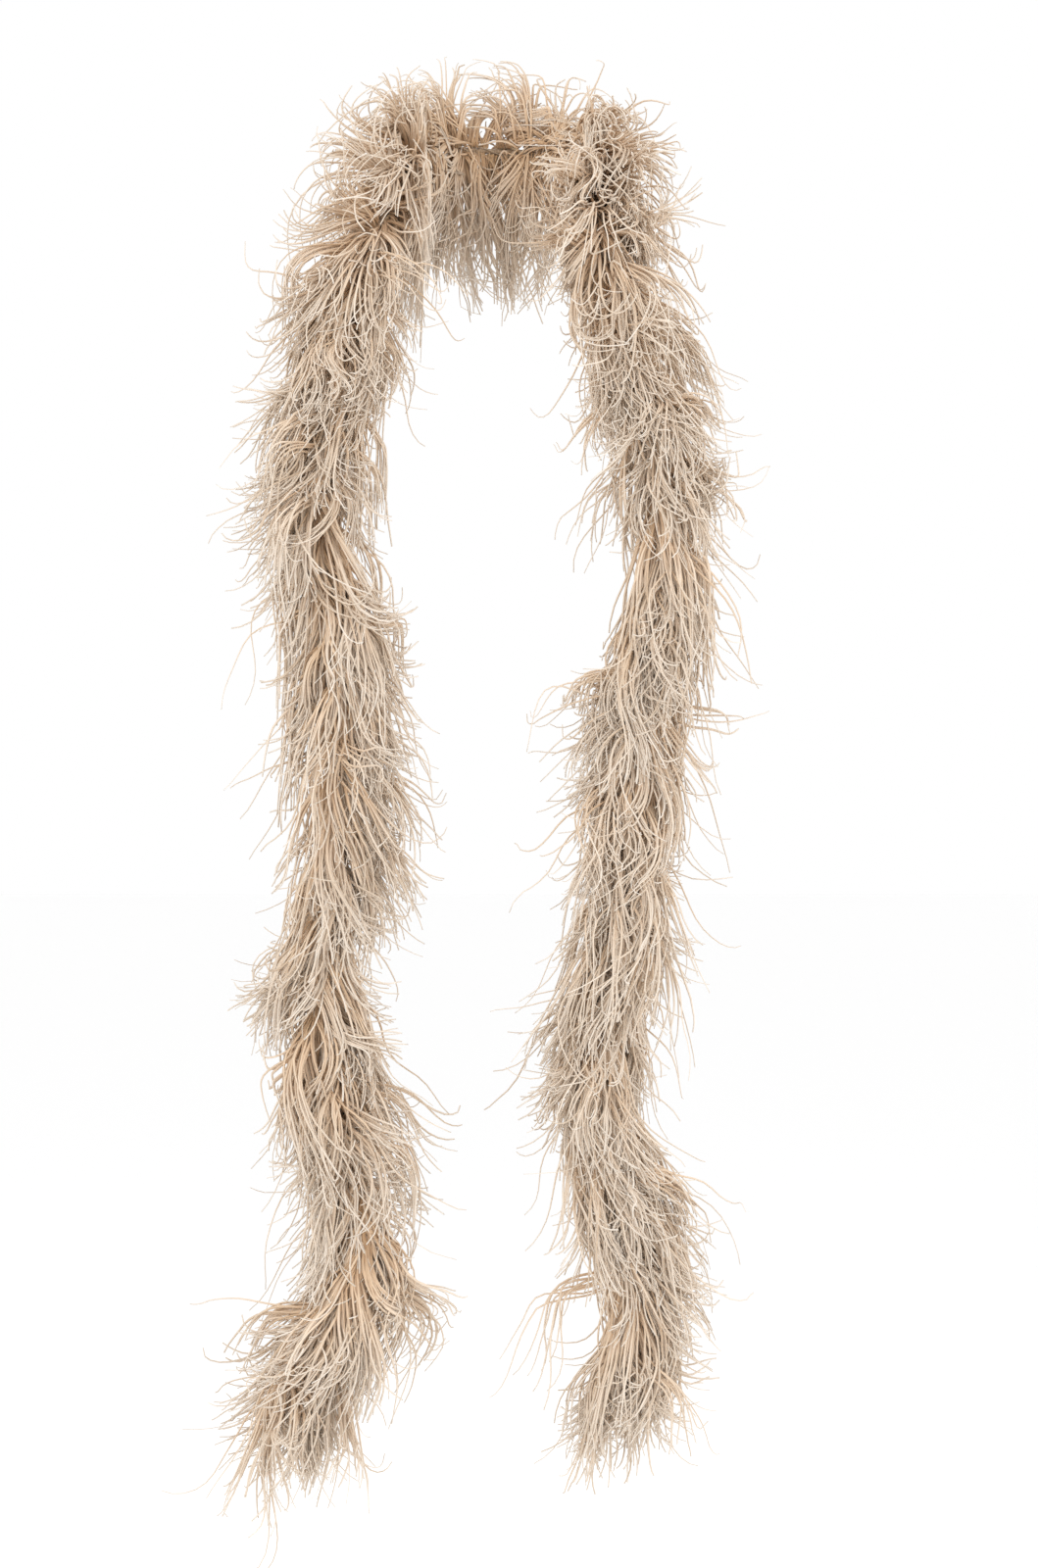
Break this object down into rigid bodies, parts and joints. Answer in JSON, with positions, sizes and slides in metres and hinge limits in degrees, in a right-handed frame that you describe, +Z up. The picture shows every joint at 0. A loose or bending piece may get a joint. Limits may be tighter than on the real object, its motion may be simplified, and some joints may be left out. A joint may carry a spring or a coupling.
{
  "type": "feather boa",
  "caption": "Long fluffy plume scarf worn round the neck: barbed plumes bound in a spiral to a twisted cord, both tails hanging down in front.",
  "frame": {"origin": "the point of the wearer's nape that the boa rests on", "axes": "+Z up, the wearer faces -Y, +X towards the wearer's left hand, which is on the right seen from the front"},
  "size_m": [0.4214, 0.2743, 1.0621],
  "materials": {
    "feather": "matte",
    "quill": "satin",
    "core_cord": "matte",
    "thread": "matte"
  },
  "bodies": {
    "neck": {"core_cord_neck": "core_cord", "binding_thread_neck": "thread", "plume_neck_1": "feather", "quill_neck_1": "quill", "plume_neck_2": "feather", "quill_neck_2": "quill", "plume_neck_3": "feather", "quill_neck_3": "quill", "plume_neck_4": "feather", "quill_neck_4": "quill"},
    "left_upper": {"core_bend_left_collar": "core_cord", "core_cord_left_upper": "core_cord", "binding_thread_left_upper": "thread", "plume_left_collar": "feather", "quill_left_collar": "quill", "plume_left_upper_1": "feather", "quill_left_upper_1": "quill", "plume_left_upper_2": "feather", "quill_left_upper_2": "quill", "plume_left_upper_3": "feather", "quill_left_upper_3": "quill"},
    "left_lower": {"core_bend_left_mid": "core_cord", "core_cord_left_lower": "core_cord", "binding_thread_left_lower": "thread", "plume_left_mid": "feather", "quill_left_mid": "quill", "plume_left_lower_1": "feather", "quill_left_lower_1": "quill", "plume_left_lower_2": "feather", "quill_left_lower_2": "quill", "plume_left_lower_3": "feather", "quill_left_lower_3": "quill", "end_whipping_left": "thread", "end_knot_left": "core_cord"},
    "right_upper": {"core_bend_right_collar": "core_cord", "core_cord_right_upper": "core_cord", "binding_thread_right_upper": "thread", "plume_right_collar": "feather", "quill_right_collar": "quill", "plume_right_upper_1": "feather", "quill_right_upper_1": "quill", "plume_right_upper_2": "feather", "quill_right_upper_2": "quill", "plume_right_upper_3": "feather", "quill_right_upper_3": "quill"},
    "right_lower": {"core_bend_right_mid": "core_cord", "core_cord_right_lower": "core_cord", "binding_thread_right_lower": "thread", "plume_right_mid": "feather", "quill_right_mid": "quill", "plume_right_lower_1": "feather", "quill_right_lower_1": "quill", "plume_right_lower_2": "feather", "quill_right_lower_2": "quill", "plume_right_lower_3": "feather", "quill_right_lower_3": "quill", "end_whipping_right": "thread", "end_knot_right": "core_cord"}
  },
  "joints": [
    {"name": "left_tail_swing", "type": "hinge", "parent": "neck", "child": "left_upper", "pos_m": [-0.11315, -0.12078, -0.12457], "axis": [-1, 0, 0], "range_deg": [0, 50], "deforming": ["core_bend_left_collar", "plume_left_collar", "quill_left_collar"]},
    {"name": "left_tail_sway", "type": "hinge", "parent": "left_upper", "child": "left_lower", "pos_m": [-0.13106, -0.14017, -0.55958], "axis": [0, 1, 0], "range_deg": [-3, 40], "deforming": ["core_bend_left_mid", "plume_left_mid", "quill_left_mid"]},
    {"name": "right_tail_swing", "type": "hinge", "parent": "neck", "child": "right_upper", "pos_m": [0.08251, -0.12254, -0.1311], "axis": [-1, 0, 0], "range_deg": [0, 50], "deforming": ["core_bend_right_collar", "plume_right_collar", "quill_right_collar"]},
    {"name": "right_tail_sway", "type": "hinge", "parent": "right_upper", "child": "right_lower", "pos_m": [0.08844, -0.1411, -0.56443], "axis": [0, -1, 0], "range_deg": [-3, 40], "deforming": ["core_bend_right_mid", "plume_right_mid", "quill_right_mid"]}
  ]
}
